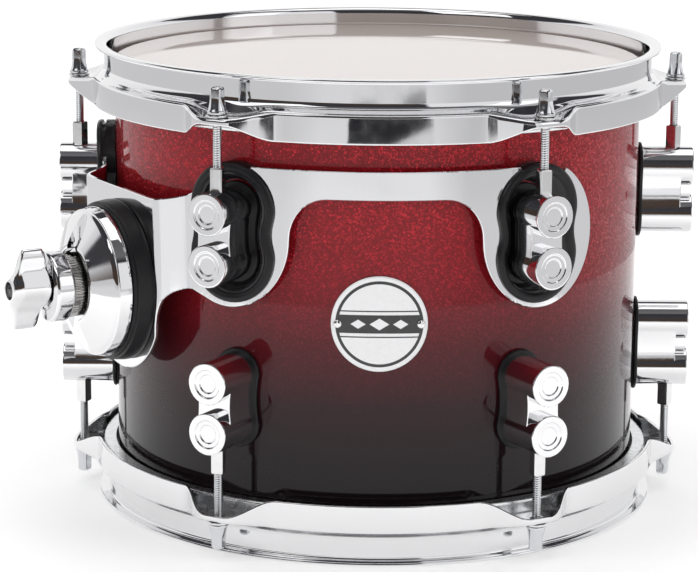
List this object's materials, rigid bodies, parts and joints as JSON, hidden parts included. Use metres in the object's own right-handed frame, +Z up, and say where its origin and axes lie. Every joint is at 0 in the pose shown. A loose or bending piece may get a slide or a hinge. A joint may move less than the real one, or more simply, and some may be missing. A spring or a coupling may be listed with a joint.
{
  "type": "tom tom drum",
  "caption": "Shell drum with a tensioned head at each end, clamped by flanged hoops and tension rods in cast lugs, on a suspension plate with a rod bracket and wing nut.",
  "frame": {"origin": "centre of the batter head's top face, on the shell's axis", "axes": "+Z up along the shell's axis out of the batter head, -Y out of the badge, +X to the right seen from the badge's side, so the rod bracket is at the left front"},
  "size_m": [0.3247, 0.2746, 0.221],
  "materials": {
    "chrome": "polished chrome plate",
    "plated_steel": "bright plated steel",
    "aluminium": "brushed aluminium",
    "lacquered_maple": "sparkle lacquer fading from red to black, high gloss, bare maple inside",
    "coated_film": "white coated polyester film",
    "clear_film": "clear polyester film",
    "rubber": "black moulded rubber",
    "badge_enamel": "white and black enamel on metal"
  },
  "bodies": {
    "drum": {"shell": "lacquered_maple", "batter_head": "coated_film", "resonant_head": "clear_film", "batter_flesh_hoop": "aluminium", "resonant_flesh_hoop": "aluminium", "batter_hoop": "chrome", "resonant_hoop": "chrome", "suspension_plate": "chrome", "grommet_left": "rubber", "grommet_right": "rubber", "grommet_side": "rubber", "bracket_cushion": "rubber", "bracket_housing": "chrome", "bracket_collar": "chrome", "badge": "badge_enamel", "badge_screw_left": "plated_steel", "badge_screw_right": "plated_steel", "batter_lug_1": "chrome", "batter_lug_2": "chrome", "batter_lug_3": "chrome", "batter_lug_4": "chrome", "batter_lug_5": "chrome", "batter_lug_6": "chrome", "resonant_lug_1": "chrome", "resonant_lug_2": "chrome", "resonant_lug_3": "chrome", "resonant_lug_4": "chrome", "resonant_lug_5": "chrome", "resonant_lug_6": "chrome"},
    "batter_washer_1": {"batter_washer_1": "plated_steel"},
    "batter_rod_1": {"batter_tension_rod_1": "plated_steel"},
    "batter_washer_2": {"batter_washer_2": "plated_steel"},
    "batter_rod_2": {"batter_tension_rod_2": "plated_steel"},
    "batter_washer_3": {"batter_washer_3": "plated_steel"},
    "batter_rod_3": {"batter_tension_rod_3": "plated_steel"},
    "batter_washer_4": {"batter_washer_4": "plated_steel"},
    "batter_rod_4": {"batter_tension_rod_4": "plated_steel"},
    "batter_washer_5": {"batter_washer_5": "plated_steel"},
    "batter_rod_5": {"batter_tension_rod_5": "plated_steel"},
    "batter_washer_6": {"batter_washer_6": "plated_steel"},
    "batter_rod_6": {"batter_tension_rod_6": "plated_steel"},
    "resonant_washer_1": {"resonant_washer_1": "plated_steel"},
    "resonant_rod_1": {"resonant_tension_rod_1": "plated_steel"},
    "resonant_washer_2": {"resonant_washer_2": "plated_steel"},
    "resonant_rod_2": {"resonant_tension_rod_2": "plated_steel"},
    "resonant_washer_3": {"resonant_washer_3": "plated_steel"},
    "resonant_rod_3": {"resonant_tension_rod_3": "plated_steel"},
    "resonant_washer_4": {"resonant_washer_4": "plated_steel"},
    "resonant_rod_4": {"resonant_tension_rod_4": "plated_steel"},
    "resonant_washer_5": {"resonant_washer_5": "plated_steel"},
    "resonant_rod_5": {"resonant_tension_rod_5": "plated_steel"},
    "resonant_washer_6": {"resonant_washer_6": "plated_steel"},
    "resonant_rod_6": {"resonant_tension_rod_6": "plated_steel"},
    "eyebolt": {"bracket_eyebolt": "plated_steel"},
    "wing_nut": {"wing_nut": "chrome"}
  },
  "joints": [
    {"name": "batter_rod_1_travel", "type": "slide", "parent": "drum", "child": "batter_washer_1", "axis": [0, 0, 1], "range_m": [0, 0.0127]},
    {"name": "batter_rod_1_turn", "type": "hinge", "parent": "batter_washer_1", "child": "batter_rod_1", "pos_m": [-0.072, 0.12471, -0.0033], "axis": [0, 0, 1], "range_deg": [0, 4322]},
    {"name": "batter_rod_2_travel", "type": "slide", "parent": "drum", "child": "batter_washer_2", "axis": [0, 0, 1], "range_m": [0, 0.0127]},
    {"name": "batter_rod_2_turn", "type": "hinge", "parent": "batter_washer_2", "child": "batter_rod_2", "pos_m": [-0.144, 0, -0.0033], "axis": [0, 0, 1], "range_deg": [0, 4322]},
    {"name": "batter_rod_3_travel", "type": "slide", "parent": "drum", "child": "batter_washer_3", "axis": [0, 0, 1], "range_m": [0, 0.0127]},
    {"name": "batter_rod_3_turn", "type": "hinge", "parent": "batter_washer_3", "child": "batter_rod_3", "pos_m": [-0.072, -0.12471, -0.0033], "axis": [0, 0, 1], "range_deg": [0, 4322]},
    {"name": "batter_rod_4_travel", "type": "slide", "parent": "drum", "child": "batter_washer_4", "axis": [0, 0, 1], "range_m": [0, 0.0127]},
    {"name": "batter_rod_4_turn", "type": "hinge", "parent": "batter_washer_4", "child": "batter_rod_4", "pos_m": [0.072, -0.12471, -0.0033], "axis": [0, 0, 1], "range_deg": [0, 4322]},
    {"name": "batter_rod_5_travel", "type": "slide", "parent": "drum", "child": "batter_washer_5", "axis": [0, 0, 1], "range_m": [0, 0.0127]},
    {"name": "batter_rod_5_turn", "type": "hinge", "parent": "batter_washer_5", "child": "batter_rod_5", "pos_m": [0.144, 0, -0.0033], "axis": [0, 0, 1], "range_deg": [0, 4322]},
    {"name": "batter_rod_6_travel", "type": "slide", "parent": "drum", "child": "batter_washer_6", "axis": [0, 0, 1], "range_m": [0, 0.0127]},
    {"name": "batter_rod_6_turn", "type": "hinge", "parent": "batter_washer_6", "child": "batter_rod_6", "pos_m": [0.072, 0.12471, -0.0033], "axis": [0, 0, 1], "range_deg": [0, 4322]},
    {"name": "resonant_rod_1_travel", "type": "slide", "parent": "drum", "child": "resonant_washer_1", "axis": [0, 0, -1], "range_m": [0, 0.0127]},
    {"name": "resonant_rod_1_turn", "type": "hinge", "parent": "resonant_washer_1", "child": "resonant_rod_1", "pos_m": [-0.072, 0.12471, -0.2013], "axis": [0, 0, -1], "range_deg": [0, 4322]},
    {"name": "resonant_rod_2_travel", "type": "slide", "parent": "drum", "child": "resonant_washer_2", "axis": [0, 0, -1], "range_m": [0, 0.0127]},
    {"name": "resonant_rod_2_turn", "type": "hinge", "parent": "resonant_washer_2", "child": "resonant_rod_2", "pos_m": [-0.144, 0, -0.2013], "axis": [0, 0, -1], "range_deg": [0, 4322]},
    {"name": "resonant_rod_3_travel", "type": "slide", "parent": "drum", "child": "resonant_washer_3", "axis": [0, 0, -1], "range_m": [0, 0.0127]},
    {"name": "resonant_rod_3_turn", "type": "hinge", "parent": "resonant_washer_3", "child": "resonant_rod_3", "pos_m": [-0.072, -0.12471, -0.2013], "axis": [0, 0, -1], "range_deg": [0, 4322]},
    {"name": "resonant_rod_4_travel", "type": "slide", "parent": "drum", "child": "resonant_washer_4", "axis": [0, 0, -1], "range_m": [0, 0.0127]},
    {"name": "resonant_rod_4_turn", "type": "hinge", "parent": "resonant_washer_4", "child": "resonant_rod_4", "pos_m": [0.072, -0.12471, -0.2013], "axis": [0, 0, -1], "range_deg": [0, 4322]},
    {"name": "resonant_rod_5_travel", "type": "slide", "parent": "drum", "child": "resonant_washer_5", "axis": [0, 0, -1], "range_m": [0, 0.0127]},
    {"name": "resonant_rod_5_turn", "type": "hinge", "parent": "resonant_washer_5", "child": "resonant_rod_5", "pos_m": [0.144, 0, -0.2013], "axis": [0, 0, -1], "range_deg": [0, 4322]},
    {"name": "resonant_rod_6_travel", "type": "slide", "parent": "drum", "child": "resonant_washer_6", "axis": [0, 0, -1], "range_m": [0, 0.0127]},
    {"name": "resonant_rod_6_turn", "type": "hinge", "parent": "resonant_washer_6", "child": "resonant_rod_6", "pos_m": [0.072, 0.12471, -0.2013], "axis": [0, 0, -1], "range_deg": [0, 4322]},
    {"name": "eyebolt_travel", "type": "slide", "parent": "drum", "child": "eyebolt", "axis": [-0.866, -0.5, 0], "range_m": [-0.002, 0]},
    {"name": "wing_nut_turn", "type": "hinge", "parent": "drum", "child": "wing_nut", "pos_m": [-0.15588, -0.09, -0.0951], "axis": [-0.866, -0.5, 0], "range_deg": [0, 578]}
  ],
  "couplings": [
    {"joint": "batter_rod_1_turn", "follows": "batter_rod_1_travel", "rad_per_m": 5936.9},
    {"joint": "batter_rod_2_turn", "follows": "batter_rod_2_travel", "rad_per_m": 5936.9},
    {"joint": "batter_rod_3_turn", "follows": "batter_rod_3_travel", "rad_per_m": 5936.9},
    {"joint": "batter_rod_4_turn", "follows": "batter_rod_4_travel", "rad_per_m": 5936.9},
    {"joint": "batter_rod_5_turn", "follows": "batter_rod_5_travel", "rad_per_m": 5936.9},
    {"joint": "batter_rod_6_turn", "follows": "batter_rod_6_travel", "rad_per_m": 5936.9},
    {"joint": "resonant_rod_1_turn", "follows": "resonant_rod_1_travel", "rad_per_m": 5936.9},
    {"joint": "resonant_rod_2_turn", "follows": "resonant_rod_2_travel", "rad_per_m": 5936.9},
    {"joint": "resonant_rod_3_turn", "follows": "resonant_rod_3_travel", "rad_per_m": 5936.9},
    {"joint": "resonant_rod_4_turn", "follows": "resonant_rod_4_travel", "rad_per_m": 5936.9},
    {"joint": "resonant_rod_5_turn", "follows": "resonant_rod_5_travel", "rad_per_m": 5936.9},
    {"joint": "resonant_rod_6_turn", "follows": "resonant_rod_6_travel", "rad_per_m": 5936.9},
    {"joint": "wing_nut_turn", "follows": "eyebolt_travel", "rad_per_m": -5026.5}
  ]
}
